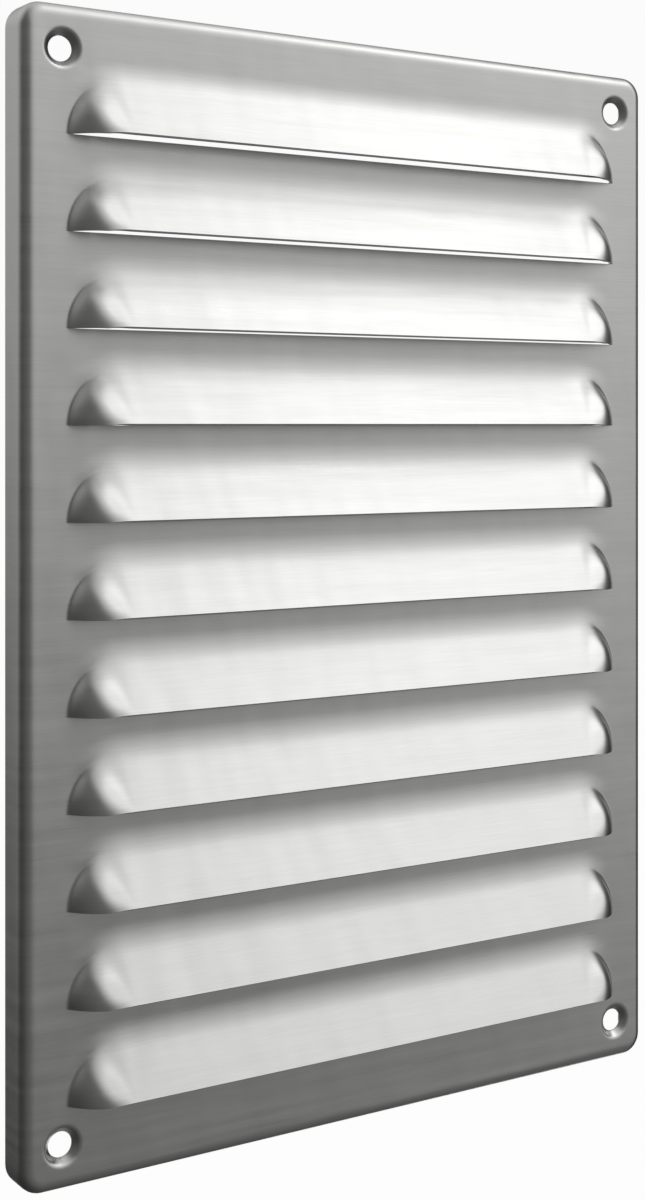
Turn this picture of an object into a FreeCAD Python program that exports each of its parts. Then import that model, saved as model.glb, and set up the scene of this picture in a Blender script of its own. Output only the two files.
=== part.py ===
import FreeCAD, Part
import math
import os
from FreeCAD import Vector

# Louvred vent panel pressed from one stainless sheet, in millimetres.
# Frame: the origin is the centre of the rear rim plane, +Z is up and the front faces -Y.
# The panel is the outside form of the sheet less its inside form. The same functions draw
# both: inset is 0 for the outside and the sheet's thickness for the inside.

# Pan
width = 165.0
height = 240.0
depth = 8.1                    # rear rim to front face
sheet = 0.8                    # thickness of the sheet
corner_radius = 5.0            # plan corners, on the outside
fold_radius = 2.7              # fold round the front face, on the outside

# Louvres, each a straight cut with the sheet above it pushed out into a hood
louvre_count = 11
louvre_pitch = 19.65
first_cut_down = 26.5          # top edge of the panel to the cut of the top louvre
cut_margin = 9.65              # side edge of the panel to the end of a cut
lip_depth = 6.3                # front face to the outer edge of the lip
lip_rise = 1.0                 # outer edge of the lip above the cut
hood_height = 12.6             # cut to where the slope would meet the front face
brow_radius = 13.0             # soft bend between the front face and the slope
ridge_radius = 6.0             # rounding between the slope and an end of the hood
end_angle = 35.0               # rise of an end of the hood from the front face
end_foot_radius = 2.0          # bend between the front face and an end
end_sweep_radius = 23.5        # plan radius of the outline of an end
end_lean = 10.7                # degrees that this outline leans inwards where it leaves the cut

# Screw holes, each at the bottom of a pressed countersink
hole_side = 9.0                # side edge of the panel to the middle of a hole
hole_end = 9.2                 # top or bottom edge of the panel to the middle of a hole
hole_radius = 2.6
sink_depth = 1.4
sink_angle = 45.0              # side of the countersink from its axis
sink_rounding = 1.3            # rounding between the front face and the countersink

# Allowances of the tools that cut the forms
cross_angle = 4.0              # slight angle at which a bend leaves the flat, so that it cuts cleanly
start_run = 0.6                # straight start of a bend, behind the flat
reach = 5.0                    # how far a tool runs past what it cuts
least_radius = 0.1             # sharpest bend that the inside of the sheet takes

half_cut = width / 2 - cut_margin
hood_slope = math.atan(lip_depth / (hood_height - lip_rise))
end_slope = math.radians(end_angle)
tool_front = 2 * (lip_depth + reach)


def inside_radius(radius, inset):
    """Radius of a bend seen from its outer side, once moved inwards by the inset."""
    return max(radius - inset, least_radius)


def bend_start(corner, radius, slope, inset):
    """Points of a bend from the flat up to a slope: behind the flat, then start, middle, end of an arc.

    A point is a distance along the flat and a height above the front face. On the
    outside of the sheet the slope would meet the flat at corner. The arc starts a
    hair behind the flat and crosses it at a slight angle.
    """
    inner_radius = radius + inset
    cross = math.radians(cross_angle)
    start = cross * 3 / 4
    centre = corner + (inner_radius - inset) * math.tan(slope / 2)
    centre_up = inner_radius * math.cos(cross) - inset
    points = []
    for turn in (start, (start + slope) / 2, slope):
        along = centre - inner_radius * math.sin(turn)
        points.append((along, centre_up - inner_radius * math.cos(turn)))
    along, up = points[0]
    behind = (along + start_run * math.cos(start), up - start_run * math.sin(start))
    return [behind] + points


def bend_face(points, place):
    """Face of a profile: its first four points are a bend, the others are corners."""
    behind, start, middle, end = points[:4]
    edges = [Part.makeLine(place(behind), place(start))]
    edges.append(Part.Arc(place(start), place(middle), place(end)).toShape())
    corners = [end] + points[4:] + [behind]
    for first, second in zip(corners, corners[1:]):
        edges.append(Part.makeLine(place(first), place(second)))
    return Part.Face(Part.Wire(edges))


def slope_bar(inset):
    """Left half of a long bar with the soft bend and the slope of a hood, its cut at height 0."""
    points = bend_start(hood_height, brow_radius, hood_slope, inset)
    along, up = points[3]
    low = -reach
    points.append((low, up + (along - low) * math.tan(hood_slope)))
    points.append((low, -depth / 2))
    points.append((points[0][0], -depth / 2))
    left = -half_cut - reach
    profile = bend_face(points, lambda point: Vector(left, -depth - point[1], point[0]))
    return profile.extrude(Vector(-left, 0, 0))


def end_tool(inset):
    """Ring that leaves the left end of a hood as a cone with a bend at its foot."""
    corner = end_sweep_radius - end_foot_radius * math.tan(end_slope / 2)
    points = bend_start(corner, end_foot_radius, end_slope, inset)
    foot, up = points[3]
    near_axis = foot / 10
    front = up + (foot - near_axis) * math.tan(end_slope)
    outer = end_sweep_radius + 3 * reach
    points.append((near_axis, front))
    points.append((outer, front))
    points.append((outer, -depth))
    points.append((points[0][0], -depth))
    lean = math.radians(end_lean)
    axis = Vector(-half_cut + end_sweep_radius * math.cos(lean), 0, -end_sweep_radius * math.sin(lean))
    profile = bend_face(points, lambda point: Vector(axis.x - point[0], -depth - point[1], axis.z))
    profile.rotate(axis, Vector(0, 1, 0), -60)
    return profile.revolve(axis, Vector(0, 1, 0), 150)


def main_solid(shape):
    """The largest solid, without what a tool left beyond it."""
    return max(shape.Solids, key=lambda solid: solid.Volume)


def round_ridge(form, inset):
    """Round the edge where the slope of a hood meets its left end."""
    outward = Vector(0, -math.cos(hood_slope), math.sin(hood_slope))
    ridges = []
    for face in form.Faces:
        if isinstance(face.Surface, Part.Plane) and face.normalAt(0, 0).getAngle(outward) < 0.001:
            ridges += [edge for edge in face.Edges if min(edge.BoundBox.XLength, edge.BoundBox.ZLength) > sheet]
    return form.makeFillet(inside_radius(ridge_radius, inset), ridges)


def lip_tool():
    """Block under a hood: level with the cut at the front face, square to the sheet at the lip."""
    inner_up = lip_depth - sheet * math.cos(hood_slope)
    inner_along = lip_rise - sheet * math.sin(hood_slope)
    beyond = inner_up + tool_front
    points = [(0, -depth), (0, 0), (inner_along, inner_up)]
    points.append((inner_along + tool_front * math.tan(hood_slope), beyond))
    points.append((-tool_front, beyond))
    points.append((-tool_front, -depth))
    left = -half_cut - 2 * reach
    corners = [Vector(left, -depth - up, along) for along, up in points + points[:1]]
    return Part.Face(Part.makePolygon(corners)).extrude(Vector(-2 * left, 0, 0))


def cut_tool():
    """Block below the cut, which keeps the sheet there whole."""
    left = -half_cut - 2 * reach
    front = -depth - tool_front
    return Part.makeBox(-2 * left, -front, tool_front, Vector(left, front, -tool_front))


def hood(inset):
    """Form of one hood, with its cut on the X axis."""
    left = round_ridge(main_solid(slope_bar(inset).cut(end_tool(inset))), inset)
    left = left.cut(cut_tool() if inset else lip_tool())
    return left.fuse(left.mirror(Vector(0, 0, 0), Vector(1, 0, 0))).removeSplitter()


def louvre_row(inset):
    """All the hoods, from the top of the panel down."""
    single = hood(inset)
    row = []
    for place in range(louvre_count):
        copy = single.copy()
        copy.translate(Vector(0, 0, height / 2 - first_cut_down - place * louvre_pitch))
        row.append(copy)
    return row


def pan(inset):
    """Form of the pan: a block with rounded corners and a rounded front edge."""
    half_x = width / 2 - inset
    half_z = height / 2 - inset
    front = inset - depth
    rear = reach if inset else 0.0
    block = Part.makeBox(2 * half_x, rear - front, 2 * half_z, Vector(-half_x, front, -half_z))
    upright = [edge for edge in block.Edges if edge.BoundBox.YLength > depth / 2]
    block = block.makeFillet(inside_radius(corner_radius, inset), upright)
    rim = [edge for edge in block.Edges if edge.BoundBox.YMax < front + least_radius]
    return block.makeFillet(inside_radius(fold_radius, inset), rim)


def hole_places():
    """Middles of the four screw holes on the front face."""
    across = width / 2 - hole_side
    up = height / 2 - hole_end
    return [Vector(x, -depth, z) for x in (-across, across) for z in (-up, up)]


def sink_mouth(inset):
    """Radius at which a countersink would meet the flat, before it is rounded."""
    half_turn = math.radians(90 - sink_angle) / 2
    return hole_radius + sink_depth * math.tan(math.radians(sink_angle)) + inset * math.tan(half_turn)


def sink_tools(inset):
    """Cones that press the four countersinks."""
    spread = math.tan(math.radians(sink_angle))
    mouth = sink_mouth(inset)
    bottom = (mouth - hole_radius) / spread
    tools = []
    for place in hole_places():
        start = place + Vector(0, inset + bottom, 0)
        length = bottom + reach
        tools.append(Part.makeCone(hole_radius, hole_radius + length * spread, length, start, Vector(0, -1, 0)))
    return tools


def pressed_pan(inset):
    """Pan with its four countersinks, rounded at the mouth on the outside of the sheet."""
    form = pan(inset).cut(sink_tools(inset))
    if inset:
        return form
    mouths = []
    for edge in form.Edges:
        at_face = edge.BoundBox.YMax < least_radius - depth
        if at_face and isinstance(edge.Curve, Part.Circle) and abs(edge.Curve.Radius - sink_mouth(0)) < 0.001:
            mouths.append(edge)
    return form.makeFillet(sink_rounding, mouths)


def panel():
    """The pressed sheet: outside less inside, with the screw holes punched."""
    outside = pressed_pan(0).fuse(louvre_row(0))
    inside = pressed_pan(sheet).fuse(louvre_row(sheet))
    holes = []
    for place in hole_places():
        holes.append(Part.makeCylinder(hole_radius, 2 * depth, place - Vector(0, depth, 0), Vector(0, 1, 0)))
    return outside.cut([inside] + holes).removeSplitter()


shape = panel()
print("solids", len(shape.Solids), "valid", shape.isValid(), "faces", len(shape.Faces))
print("volume", round(shape.Volume, 1), "box", shape.BoundBox)
os.makedirs("parts", exist_ok=True)
shape.Solids[0].exportStep("parts/louvred_panel.step")
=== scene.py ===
import math

import bpy
import numpy as np
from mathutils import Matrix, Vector


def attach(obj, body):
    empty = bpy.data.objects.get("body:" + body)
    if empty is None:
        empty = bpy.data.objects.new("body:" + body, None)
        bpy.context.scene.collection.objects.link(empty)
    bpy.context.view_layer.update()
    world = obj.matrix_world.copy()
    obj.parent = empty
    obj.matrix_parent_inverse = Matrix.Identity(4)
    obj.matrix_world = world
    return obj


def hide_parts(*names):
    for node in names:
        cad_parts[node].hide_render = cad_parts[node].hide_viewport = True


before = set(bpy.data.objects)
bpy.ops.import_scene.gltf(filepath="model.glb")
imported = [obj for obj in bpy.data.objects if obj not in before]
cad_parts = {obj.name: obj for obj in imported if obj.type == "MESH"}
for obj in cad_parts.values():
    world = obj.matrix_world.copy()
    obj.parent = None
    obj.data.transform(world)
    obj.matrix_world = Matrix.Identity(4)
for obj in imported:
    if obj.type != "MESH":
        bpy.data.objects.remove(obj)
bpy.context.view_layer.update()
print("frame loaded")


def linearColour(code, alpha=1.0):
    # sRGB hex to linear: each channel through the sRGB curve
    values = [int(code[i:i + 2], 16) / 255 for i in (1, 3, 5)]
    linear = [v / 12.92 if v <= 0.04045 else ((v + 0.055) / 1.055) ** 2.4 for v in values]
    return (*linear, alpha)


def addNode(tree, kind, links=None, **settings):
    # one node: settings are attributes, or input sockets by name; links are socket name to output
    node = tree.nodes.new(kind)
    for name, value in settings.items():
        if hasattr(node, name):
            setattr(node, name, value)
        else:
            node.inputs[name.replace("_", " ")].default_value = value
    for name, output in (links or {}).items():
        tree.links.new(output, node.inputs[name])
    return node


def newMaterial(name):
    material = bpy.data.materials.new(name)
    material.use_nodes = True
    material.node_tree.nodes.clear()
    return material


# ---------- brushed sheet
# stainless sheet brushed across its width: the grain spreads each highlight up and down in a soft band, and
# faint streaks run along it. Real grain is under 0.1 mm; its streaks are drawn at 0.35 mm so that they show
steelLook = {
    "colour": "#cfcfcd",
    "roughness": 0.30,
    "anisotropy": 0.6,
    "grain": (14.0, 0.35), "bands": (60.0, 3.0), "waves": (10.0, 26.0),  # length and width in millimetres
}


def brushedSteel():
    material = newMaterial("brushedStainlessSheet")
    tree = material.node_tree
    # unfolded sheet, in metres: u runs along the grain
    flat = addNode(tree, "ShaderNodeUVMap", uv_map="unfolded").outputs[0]
    grainWay = addNode(tree, "ShaderNodeTangent", direction_type="UV_MAP", uv_map="unfolded").outputs[0]

    def streaks(size, detail):
        # noise drawn out along the grain
        longMillimetres, fineMillimetres = size
        scaled = addNode(tree, "ShaderNodeMapping", {"Vector": flat},
                         Scale=(1000 / longMillimetres, 1000 / fineMillimetres, 1.0))
        return addNode(tree, "ShaderNodeTexNoise", {"Vector": scaled.outputs[0]}, Scale=1.0, Detail=detail,
                       Roughness=0.6).outputs[0]

    fine = streaks(steelLook["grain"], 2.0)
    broad = streaks(steelLook["bands"], 3.0)
    patch = streaks(steelLook["waves"], 1.0)
    grainTone = addNode(tree, "ShaderNodeMapRange", {"Value": fine}, From_Min=0.3, From_Max=0.7,
                        To_Min=-0.03, To_Max=0.03)
    bandTone = addNode(tree, "ShaderNodeMapRange", {"Value": broad}, From_Min=0.3, From_Max=0.7,
                       To_Min=-0.035, To_Max=0.035)
    tones = {0: grainTone.outputs[0], 1: bandTone.outputs[0]}
    bothTones = addNode(tree, "ShaderNodeMath", tones, operation="ADD")
    level = addNode(tree, "ShaderNodeMath", {0: bothTones.outputs[0]}, operation="ADD")
    level.inputs[1].default_value = 1.0
    base = linearColour(steelLook["colour"])
    colour = addNode(tree, "ShaderNodeVectorMath", {"Scale": level.outputs[0]}, operation="SCALE")
    colour.inputs[0].default_value = base[:3]
    rough = addNode(tree, "ShaderNodeMapRange", {"Value": broad}, From_Min=0.25, From_Max=0.75,
                    To_Min=steelLook["roughness"] - 0.04, To_Max=steelLook["roughness"] + 0.05)
    bump = addNode(tree, "ShaderNodeBump", {"Height": fine}, Strength=0.25, Distance=0.00002)
    waves = addNode(tree, "ShaderNodeBump", {"Height": patch, "Normal": bump.outputs[0]},
                    Strength=0.5, Distance=0.0004)
    shader = addNode(tree, "ShaderNodeBsdfPrincipled",
                     {"Base Color": colour.outputs[0], "Roughness": rough.outputs[0],
                      "Normal": waves.outputs[0], "Tangent": grainWay},
                     Metallic=1.0, Anisotropic=steelLook["anisotropy"], Anisotropic_Rotation=0.25)
    addNode(tree, "ShaderNodeOutputMaterial", {"Surface": shader.outputs[0]})
    return material


# ---------- pressed sheet
# sizes in millimetres. Outline, fold, places and height are the solid's; the hood ends are steeper domes than
# its ends, and the lip rise, the slope and the ridge rounding differ a little
panelForm = {
    "width": 165.0, "height": 240.0, "depth": 8.1, "sheet": 0.8,
    "cornerRadius": 5.0, "foldRadius": 2.7,
    "louvres": 11, "pitch": 19.65, "firstCut": 93.5, "tipSide": 72.85,
    "lipDepth": 6.3, "lipRise": 0.35, "hoodHeight": 12.6, "browRadius": 13.0, "ridgeRadius": 7.0,
    "endAngle": 58.0, "endTopAngle": 14.0, "crownRadius": 13.0, "footRadius": 0.8,
    "domeRadius": 12.6, "softFrom": 0.55, "outlineTurn": 0.84, "ridgeShare": 0.86,
    "holeSide": 73.5, "holeUp": 110.8, "holeRadius": 2.6, "sinkDepth": 1.4, "sinkRounding": 1.3,
    "edgeRounding": 0.10,
}


def bendRise(distance, start, radius, slope):
    # a tangent arc from the flat, then a straight rise: radius less its cosine part, then tan(slope)
    # per length
    run = np.maximum(distance - start, 0)
    arcRun = radius * math.sin(slope)
    arc = radius - np.sqrt(radius ** 2 - np.minimum(run, arcRun) ** 2)
    return arc + np.maximum(run - arcRun, 0) * math.tan(slope)


def endRise(inward):
    # rise and slope of a hood's end at a distance in from its outline: a small foot arc turned one way,
    # a crown arc turned the other, then a straight rise
    f = panelForm
    steep, flat = math.radians(f["endAngle"]), math.radians(f["endTopAngle"])
    footRun = f["footRadius"] * math.sin(steep)
    crownRun = f["crownRadius"] * (math.sin(steep) - math.sin(flat))
    run = np.maximum(inward, 0)
    footSine = np.minimum(run, footRun) / f["footRadius"]
    foot = f["footRadius"] * (1 - np.sqrt(1 - footSine ** 2))
    crownSine = math.sin(steep) - np.clip(run - footRun, 0, crownRun) / f["crownRadius"]
    crown = f["crownRadius"] * (np.sqrt(1 - crownSine ** 2) - math.cos(steep))
    sine = np.where(run < footRun, footSine, crownSine)
    straight = np.maximum(run - footRun - crownRun, 0) * math.tan(flat)
    return foot + crown + straight, sine / np.sqrt(1 - sine ** 2)


def hoodRise(x, up):
    # height of a hood over the flat at a place across and up from its cut: the lower of its slope and
    # its domed end, less a parabola where the two are nearly level, which rounds the ridge. The end is
    # turned about a point on the cut, steep where it faces sideways, the slope itself where it faces up
    f = panelForm
    slope = math.atan(f["lipDepth"] / (f["hoodHeight"] - f["lipRise"]))
    away = np.abs(x)
    browEnd = f["hoodHeight"] + f["browRadius"] * math.tan(slope / 2)

    def slopeAt(distance):
        sine = np.clip((browEnd - distance) / f["browRadius"], 0, math.sin(slope))
        return bendRise(-distance, -browEnd, f["browRadius"], slope), sine / np.sqrt(1 - sine ** 2)

    face, faceSlope = slopeAt(up)
    axisAway = f["tipSide"] - f["domeRadius"]
    outSide = np.maximum(away - axisAway, 0)
    fromAxis = np.maximum(np.hypot(outSide, up), 1e-6)
    outX, outUp = outSide / fromAxis, up / fromAxis
    steep, steepGo = endRise(f["domeRadius"] - fromAxis)
    soft, softGo = slopeAt(fromAxis)
    share = np.clip((outUp - f["softFrom"]) / (1 - f["softFrom"]), 0, 1)
    share = share * share * (3 - 2 * share)
    end = steep + (soft - steep) * share
    endGo = steepGo + (softGo - steepGo) * share
    apart = np.hypot(outX * endGo, outUp * endGo - faceSlope)
    cosine = (1 + outUp * endGo * faceSlope) / np.sqrt((1 + faceSlope ** 2) * (1 + endGo ** 2))
    halfTurn = np.arccos(np.clip(cosine, -1, 1)) / 2
    reach = np.maximum(apart * f["ridgeRadius"] * np.tan(halfTurn) * f["ridgeShare"], 1e-6)
    near = np.maximum(1 - np.abs(face - end) / reach, 0)
    return np.where(away > axisAway, np.minimum(face, end) - reach / 4 * near ** 2, face)


def lipUp(rise):
    # how far the sheared lip stands above the cut: square to the sheet at the outer edge, then nearly upright
    f = panelForm
    slope = math.atan(f["lipDepth"] / (f["hoodHeight"] - f["lipRise"]))
    innerRise = f["lipDepth"] - f["sheet"] * math.cos(slope)
    innerUp = f["lipRise"] - f["sheet"] * math.sin(slope)
    outer = innerUp + (rise - innerRise) * math.tan(slope)
    return np.where(rise < innerRise, rise * innerUp / innerRise, outer)


def outlineSide(up):
    # how far from the middle the end of a hood meets the flat: a circle about a point on the cut,
    # then back out
    f = panelForm
    top = f["domeRadius"] * f["outlineTurn"]
    circle = f["tipSide"] - f["domeRadius"] + np.sqrt(f["domeRadius"] ** 2 - np.minimum(up, top) ** 2)
    back = np.clip((up - top) / (f["pitch"] - top), 0, 1)
    back = back * back * (3 - 2 * back)
    return circle + (f["tipSide"] - circle) * back


def panelSheet():
    # front: a grid of columns that follow the ends of the hoods and rows that follow the cuts, split
    # along each cut
    f = panelForm
    flatX = f["width"] / 2 - f["foldRadius"]
    flatZ = f["height"] / 2 - f["foldRadius"]
    arc = f["cornerRadius"] - f["foldRadius"]
    outlineTop = f["domeRadius"] * f["outlineTurn"]
    noHood = 1e3  # stands for the height above a cut where the sheet is plain
    liftEnd = 6.0  # height above the cut where the lip's rise has faded out
    # rows as (z, height above the cut of its hood, how far its outline is drawn in); a cut has two rows
    bandUp = np.concatenate([np.linspace(0, 9.6, 17), np.linspace(10.2, 16.2, 11), [17.4, 18.6, 19.65]])
    topUp = np.concatenate([bandUp[:28], np.linspace(17.0, flatZ - arc - f["firstCut"], 6),
                            flatZ - f["firstCut"] - arc * (1 - np.linspace(0.25, 1, 4))])
    lastCut = f["firstCut"] - (f["louvres"] - 1) * f["pitch"]
    below = np.concatenate([-flatZ + arc * (1 - np.linspace(1, 0.0, 5)),
                            np.linspace(-flatZ + arc + 1, lastCut - 0.9, 12), [lastCut]])
    drawnIn = np.clip((lastCut - below) / 2.5, 0, 1)
    drawnIn = drawnIn * drawnIn * (3 - 2 * drawnIn)
    rowZ = [below]
    rowUp = [np.full_like(below, noHood)]
    rowSide = [f["tipSide"] + (outlineSide(outlineTop) - f["tipSide"]) * drawnIn]
    for place in range(f["louvres"] - 1, -1, -1):
        up = topUp if place == 0 else bandUp
        rowZ.append(f["firstCut"] - place * f["pitch"] + up)
        rowUp.append(up)
        side = outlineSide(up)
        if place == 0:
            side = np.where(up > outlineTop, outlineSide(outlineTop), side)
        rowSide.append(side)
    starts = np.cumsum([0] + [len(part) for part in rowZ])
    rowZ, rowUp, rowSide = (np.concatenate(part) for part in (rowZ, rowUp, rowSide))
    # columns of the left half, from the fold to the middle
    edge = np.linspace(0, arc, 5)
    margin = np.linspace(0, 1, 9)[1:]
    inward = np.concatenate([np.linspace(0.12, 0.72, 5), np.linspace(1.1, 5.3, 9),
                             np.linspace(5.9, 15.5, 15)])
    middle = np.linspace(0, 1, 8)[1:]
    side = rowSide[:, None]
    left = np.concatenate([
        np.broadcast_to(-flatX + edge, (len(rowZ), len(edge))),
        -flatX + arc + (flatX - arc - side) * margin,
        -side + inward,
        (-side + inward[-1]) * (1 - middle)], axis=1)
    x = np.concatenate([left, -left[:, -2::-1]], axis=1)
    columns = x.shape[1]
    tipColumn = len(edge) - 1 + len(margin)
    z = np.repeat(rowZ[:, None], columns, axis=1)
    up = np.repeat(rowUp[:, None], columns, axis=1)
    # the lip's own rise moves the lowest rows of each hood
    hooded = up < noHood
    lift = np.zeros_like(x)
    for _ in range(6):
        rise = np.where(hooded, hoodRise(x, up + lift), 0)
        low = hoodRise(x, lipUp(rise))
        atLip = lipUp(hoodRise(x, lipUp(low)))
        lift = np.where(up < liftEnd, atLip * (1 - up / liftEnd), 0)
    rise = np.where(hooded, hoodRise(x, up + lift), 0)
    z = z + lift
    # corners of the flat: a square of side arc is drawn into a quarter circle
    acrossIn = (np.abs(x) - (flatX - arc)) / arc
    upIn = (np.abs(z) - (flatZ - arc)) / arc
    inCorner = (acrossIn > 0) & (upIn > 0)
    roundX = (flatX - arc + arc * acrossIn * np.sqrt(np.maximum(1 - upIn ** 2 / 2, 0))) * np.sign(x)
    roundZ = (flatZ - arc + arc * upIn * np.sqrt(np.maximum(1 - acrossIn ** 2 / 2, 0))) * np.sign(z)
    x, z = np.where(inCorner, roundX, x), np.where(inCorner, roundZ, z)
    y = -f["depth"] - rise
    index = np.arange(x.size).reshape(x.shape)
    cutRows = starts[1:-1]
    for row in cutRows:
        index[row - 1, :tipColumn + 1] = index[row, :tipColumn + 1]
        index[row - 1, columns - tipColumn - 1:] = index[row, columns - tipColumn - 1:]
    keep = np.ones((len(rowZ) - 1, columns - 1), bool)
    keep[cutRows - 1] = False
    places = [np.stack([x, y, z], axis=-1).reshape(-1, 3)]
    flats = [np.stack([x, z], axis=-1).reshape(-1, 2)]
    count = x.size
    faces = []
    # countersinks: a block of cells round each hole gives way to rings that run down to the hole
    mouth = f["holeRadius"] + f["sinkDepth"]
    half = math.tan(math.radians(22.5))
    turn = np.radians(np.linspace(0, 45, 6))
    bendOut = mouth + f["sinkRounding"] * half
    ringR = np.concatenate([[bendOut + 0.25], bendOut - f["sinkRounding"] * np.sin(turn), [3.3, 2.95]])
    ringDown = np.concatenate([[0], f["sinkRounding"] * (1 - np.cos(turn)), [mouth - 3.3, mouth - 2.95]])
    # the foot of the cone turns into the hole on a small arc
    footArc = 0.35
    footTurn = np.radians(np.linspace(0, 45, 4)) + math.pi / 4
    ringR = np.concatenate([ringR, f["holeRadius"] + footArc * (1 - np.sin(footTurn))])
    footDown = mouth - 2.70 + footArc * (math.cos(math.pi / 4) - np.cos(footTurn))
    ringDown = np.concatenate([ringDown, footDown])
    blockHalf = 5.6  # half the height of the block of cells
    for signX in (-1, 1):
        for signZ in (-1, 1):
            middleX, middleZ = signX * f["holeSide"], signZ * f["holeUp"]
            inRow = np.nonzero(np.abs(rowZ - middleZ) < blockHalf)[0]
            low, high = inRow[0], inRow[-1]
            first, last = (2, 11) if signX < 0 else (columns - 12, columns - 3)
            keep[low:high, first:last] = False
            loop = np.concatenate([index[low, first:last], index[low:high, last], index[high, last:first:-1],
                                   index[high:low:-1, first]])
            blockEdge = np.stack([x.reshape(-1)[loop], z.reshape(-1)[loop]], axis=-1)
            away = blockEdge - [middleX, middleZ]
            direction = away / np.hypot(away[:, 0], away[:, 1])[:, None]
            ring = np.array([middleX, middleZ]) + direction[None] * ringR[:, None, None]
            down = np.repeat(ringDown[:, None], len(loop), axis=1)
            places.append(np.stack([ring[..., 0], -f["depth"] + down, ring[..., 1]], axis=-1).reshape(-1, 3))
            flats.append(ring.reshape(-1, 2))
            rings = np.concatenate([loop[None], count + np.arange(down.size).reshape(down.shape)])
            count += down.size
            nextRings = np.roll(rings, -1, axis=1)
            ringFaces = np.stack([rings[:-1], nextRings[:-1], nextRings[1:], rings[1:]], axis=-1)
            faces.append(ringFaces.reshape(-1, 4))
    cells = np.stack([index[:-1, :-1], index[:-1, 1:], index[1:, 1:], index[1:, :-1]], axis=-1)
    faces.append(cells[keep])
    # fold and wall: the profile is carried round the edge of the flat, along its outward direction
    outer = np.delete(index, cutRows - 1, axis=0)  # a cut's two rows are one at the side
    border = np.concatenate([outer[0, :-1], outer[:-1, -1], outer[-1, :0:-1], outer[:0:-1, 0]])
    edgeX, edgeZ = x.reshape(-1)[border], z.reshape(-1)[border]
    outX = np.where(np.abs(edgeX) > flatX - arc + 1e-6, edgeX - np.sign(edgeX) * (flatX - arc), 0)
    outZ = np.where(np.abs(edgeZ) > flatZ - arc + 1e-6, edgeZ - np.sign(edgeZ) * (flatZ - arc), 0)
    length = np.hypot(outX, outZ)
    outX, outZ = outX / length, outZ / length
    turn = np.radians(np.linspace(0, 90, 9))[1:]
    foldOut = np.concatenate([f["foldRadius"] * np.sin(turn), [f["foldRadius"]] * 2])
    foldBack = np.concatenate([f["foldRadius"] * (1 - np.cos(turn)), [5.0, f["depth"]]])
    foldRun = np.concatenate([f["foldRadius"] * turn, f["foldRadius"] * (math.pi / 2 - 1) + foldBack[-2:]])
    fold = np.stack([edgeX + foldOut[:, None] * outX,
                     np.repeat(-f["depth"] + foldBack[:, None], len(border), axis=1),
                     edgeZ + foldOut[:, None] * outZ], axis=-1)
    places.append(fold.reshape(-1, 3))
    foldFlat = np.stack([edgeX + foldRun[:, None] * outX, edgeZ + foldRun[:, None] * outZ], axis=-1)
    flats.append(foldFlat.reshape(-1, 2))
    rings = np.concatenate([border[None], count + np.arange(fold[..., 0].size).reshape(fold.shape[:2])])
    nextRings = np.roll(rings, -1, axis=1)
    faces.append(np.stack([rings[:-1], rings[1:], nextRings[1:], nextRings[:-1]], axis=-1).reshape(-1, 4))
    return np.concatenate(places), np.concatenate(flats), np.concatenate(faces)


def pressedPanel(material):
    places, flats, faces = panelSheet()
    used = np.unique(faces)
    renumber = np.zeros(len(places), int)
    renumber[used] = np.arange(len(used))
    faces = renumber[faces]
    mesh = bpy.data.meshes.new("louvredPanel")
    mesh.from_pydata(places[used] * 0.001, [], faces)
    unfolded = mesh.uv_layers.new(name="unfolded")
    unfolded.data.foreach_set("uv", (flats[used][faces.reshape(-1)] * 0.001).reshape(-1))
    mesh.materials.append(material)
    mesh.shade_smooth()
    made = bpy.data.objects.new("louvredPanel", mesh)
    bpy.context.scene.collection.objects.link(made)
    wall = made.modifiers.new("sheetThickness", "SOLIDIFY")
    wall.thickness = panelForm["sheet"] * 0.001
    wall.offset = -1
    wall.use_even_offset = True
    wall.use_quality_normals = True
    worn = made.modifiers.new("shearedEdges", "BEVEL")
    worn.width = panelForm["edgeRounding"] * 0.001
    worn.segments = 1
    worn.limit_method = "ANGLE"
    worn.angle_limit = math.radians(50)
    depsgraph = bpy.context.evaluated_depsgraph_get()
    thick = bpy.data.meshes.new_from_object(made.evaluated_get(depsgraph), depsgraph=depsgraph)
    made.modifiers.clear()
    made.data = thick
    thick.set_sharp_from_angle(angle=math.radians(32))
    triangles = sum(len(face.vertices) - 2 for face in thick.polygons)
    print("panel sheet", len(thick.vertices), "points", triangles, "triangles")
    return made


panel = pressedPanel(brushedSteel())
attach(panel, "root")
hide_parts("louvred_panel")
print("panel dressed")

# ---------- studio
studio = {
    "floorHeight": -0.30,
    "sweepColour": "#fbfbfa",
    "lensMillimetres": 56.1,
    "cameraPlace": (-0.233, -0.3536, 0.0347),
    "cameraAim": (0.540, 0.8415, 0.0),
    "shiftUp": -0.146,
}


def gridObject(name, points, material):
    # a surface on a rows x columns x 3 array of points, as one quad per cell
    rows, columns = points.shape[:2]
    index = np.arange(rows * columns).reshape(rows, columns)
    quads = np.stack([index[:-1, :-1], index[:-1, 1:], index[1:, 1:], index[1:, :-1]], axis=-1).reshape(-1, 4)
    mesh = bpy.data.meshes.new(name)
    mesh.from_pydata(points.reshape(-1, 3), [], quads)
    mesh.materials.append(material)
    mesh.shade_smooth()
    made = bpy.data.objects.new(name, mesh)
    bpy.context.scene.collection.objects.link(made)
    return made


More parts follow.
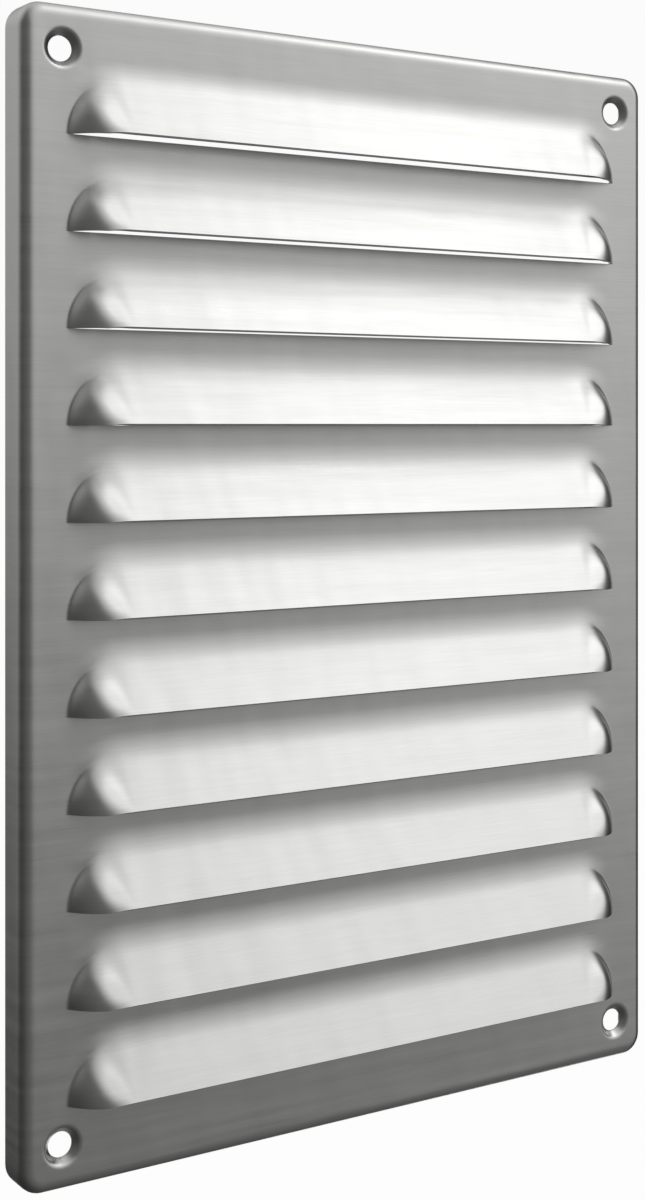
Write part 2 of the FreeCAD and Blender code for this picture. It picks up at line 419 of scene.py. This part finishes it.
def paperMaterial(name, colour, glow):
    # matt paper; where glow is over 0 the camera and the metal see it as an even white
    material = newMaterial(name)
    tree = material.node_tree
    paper = addNode(tree, "ShaderNodeBsdfDiffuse", Color=linearColour(colour))
    white = addNode(tree, "ShaderNodeEmission", Color=(1, 1, 1, 1), Strength=1.0)
    path = addNode(tree, "ShaderNodeLightPath")
    seen = addNode(tree, "ShaderNodeMath", operation="MAXIMUM")
    tree.links.new(path.outputs["Is Camera Ray"], seen.inputs[0])
    tree.links.new(path.outputs["Is Glossy Ray"], seen.inputs[1])
    seenAll = addNode(tree, "ShaderNodeMath", operation="MAXIMUM")
    tree.links.new(seen.outputs[0], seenAll.inputs[0])
    tree.links.new(path.outputs["Is Transmission Ray"], seenAll.inputs[1])
    share = addNode(tree, "ShaderNodeMath", operation="MULTIPLY")
    tree.links.new(seenAll.outputs[0], share.inputs[0])
    share.inputs[1].default_value = glow
    mix = addNode(tree, "ShaderNodeMixShader")
    tree.links.new(share.outputs[0], mix.inputs[0])
    tree.links.new(paper.outputs[0], mix.inputs[1])
    tree.links.new(white.outputs[0], mix.inputs[2])
    addNode(tree, "ShaderNodeOutputMaterial", {"Surface": mix.outputs[0]})
    return material


def paperSweep():
    # paper laid as the floor, then a quarter circle, then upright; it widens with the distance
    aim = np.array(studio["cameraAim"])
    side = np.array([aim[1], -aim[0], 0.0])
    start = np.array([studio["cameraPlace"][0], studio["cameraPlace"][1], 0.0])
    bend = np.linspace(0, np.pi / 2, 24)
    radius, near, far = 0.6, 0.62, 2.4
    along = np.concatenate([[near], far + radius * np.sin(bend), [far + radius]])
    up = np.concatenate([[0.0], radius * (1 - np.cos(bend)), [2.2]]) + studio["floorHeight"] + 0.002
    across = np.linspace(-1, 1, 7) * (0.03 + 0.2 * along[:, None])
    points = (start + along[:, None, None] * aim + across[..., None] * side
              + up[:, None, None] * np.array([0, 0, 1.0]))
    return gridObject("paperSweep", points, paperMaterial("whitePaper", studio["sweepColour"], 0.95))


paperSweep()


# aim of each lobe, then steps of cosine and strength
studioLight = {
    "key": ((0.6, -0.4, 0.69), ((-1.0, 0.03), (-0.6, 0.06), (-0.1, 0.13), (0.2, 0.14), (0.38, 0.18),
                                (0.5, 0.32), (0.66, 0.56), (0.79, 0.76), (0.9, 0.98), (0.96, 1.36),
                                (1.0, 2.2))),
    "back": ((-0.5, 0.6, 0.62), ((-1.0, 0.0), (0.45, 0.0), (0.62, 0.10), (0.8, 0.38), (1.0, 0.6))),
    "flag": ((0.95, 0.35, 0.05), ((-1.0, 1.0), (0.52, 1.0), (0.64, 0.8), (0.82, 0.2), (1.0, 0.12))),
}


def softWorld():
    # room light by direction: a large soft light at front right above, a weaker one at back left, and a dark
    # flag at the right; each curve gives strength by the cosine of the angle from its aim
    world = bpy.data.worlds.new("studioRoom")
    bpy.context.scene.world = world
    world.use_nodes = True
    tree = world.node_tree
    tree.nodes.clear()
    direction = addNode(tree, "ShaderNodeTexCoord").outputs["Generated"]

    def lobe(aim, steps):
        share = addNode(tree, "ShaderNodeVectorMath", {0: direction}, operation="DOT_PRODUCT")
        share.inputs[1].default_value = Vector(aim).normalized()
        curve = addNode(tree, "ShaderNodeFloatCurve", {"Value": share.outputs["Value"]})
        curve.mapping.use_clip = False
        line = curve.mapping.curves[0]
        line.points[0].location, line.points[1].location = steps[0], steps[-1]
        for place in steps[1:-1]:
            line.points.new(*place)
        for point in line.points:
            point.handle_type = "AUTO_CLAMPED"
        curve.mapping.update()
        return curve.outputs[0]

    lights = {0: lobe(*studioLight["key"]), 1: lobe(*studioLight["back"])}
    both = addNode(tree, "ShaderNodeMath", lights, operation="ADD")
    flagged = {0: both.outputs[0], 1: lobe(*studioLight["flag"])}
    total = addNode(tree, "ShaderNodeMath", flagged, operation="MULTIPLY")
    back = addNode(tree, "ShaderNodeBackground", {"Strength": total.outputs[0]}, Color=(1, 1, 1, 1))
    addNode(tree, "ShaderNodeOutputWorld", {"Surface": back.outputs[0]})


softWorld()

cameraData = bpy.data.cameras.new("camera")
cameraData.lens = studio["lensMillimetres"]
cameraData.shift_y = studio["shiftUp"]
cameraData.clip_start = 0.01
camera = bpy.data.objects.new("camera", cameraData)
camera.location = studio["cameraPlace"]
camera.rotation_euler = Vector(studio["cameraAim"]).to_track_quat("-Z", "Y").to_euler()
bpy.context.scene.collection.objects.link(camera)
bpy.context.scene.camera = camera
bpy.context.scene.view_settings.view_transform = "Standard"
print("studio ready")
